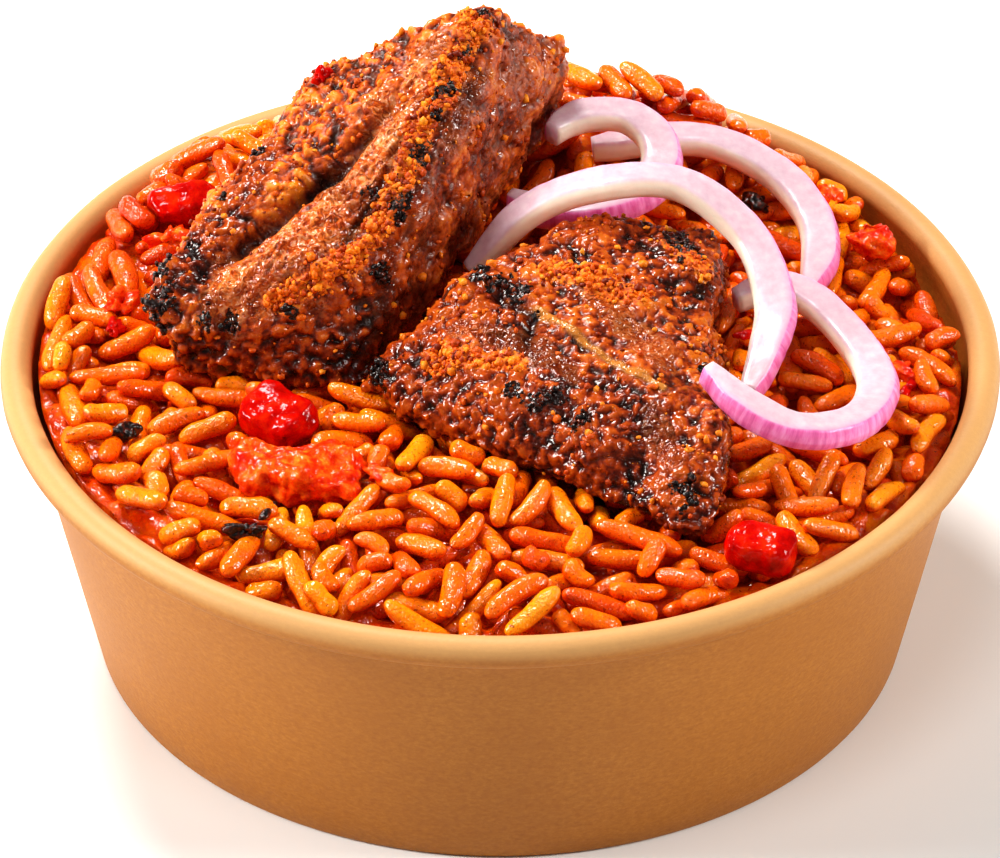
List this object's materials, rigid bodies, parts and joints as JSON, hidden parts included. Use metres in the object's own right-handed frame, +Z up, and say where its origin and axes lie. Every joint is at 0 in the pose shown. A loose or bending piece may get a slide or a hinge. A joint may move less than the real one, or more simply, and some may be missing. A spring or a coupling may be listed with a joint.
{
  "type": "jollof rice",
  "caption": "Heaped jollof rice with grilled meat, red onion rings, pepper and tomato bits in a round kraft paper bowl with a rolled rim.",
  "frame": {"origin": "centre of the bowl's foot on the table", "axes": "+Z up; the eater sits on the -Y side, so the small piece of meat lies towards -Y and the large one leans up towards +Y"},
  "size_m": [0.15, 0.15, 0.0881],
  "materials": {
    "kraft_paper": "matte uncoated outside, faint fibres",
    "rice": "oily, glossy cooked grains in tomato sauce",
    "grilled_meat": "browned, glazed, charred edges, dry spice crust",
    "red_onion": "moist white flesh, purple skin",
    "red_pepper": "glossy wet skin",
    "tomato": "soft cooked pulp, wet"
  },
  "bodies": {
    "root": {"bowl": "kraft_paper", "rice": "rice", "meat_large": "grilled_meat", "meat_small": "grilled_meat", "onion_ring_a": "red_onion", "onion_ring_b": "red_onion", "onion_ring_c": "red_onion", "onion_ring_d": "red_onion", "pepper_front_left": "red_pepper", "pepper_front_right": "red_pepper", "pepper_back_left": "red_pepper", "tomato_back_right": "tomato", "tomato_pulp": "tomato"}
  },
  "joints": []
}
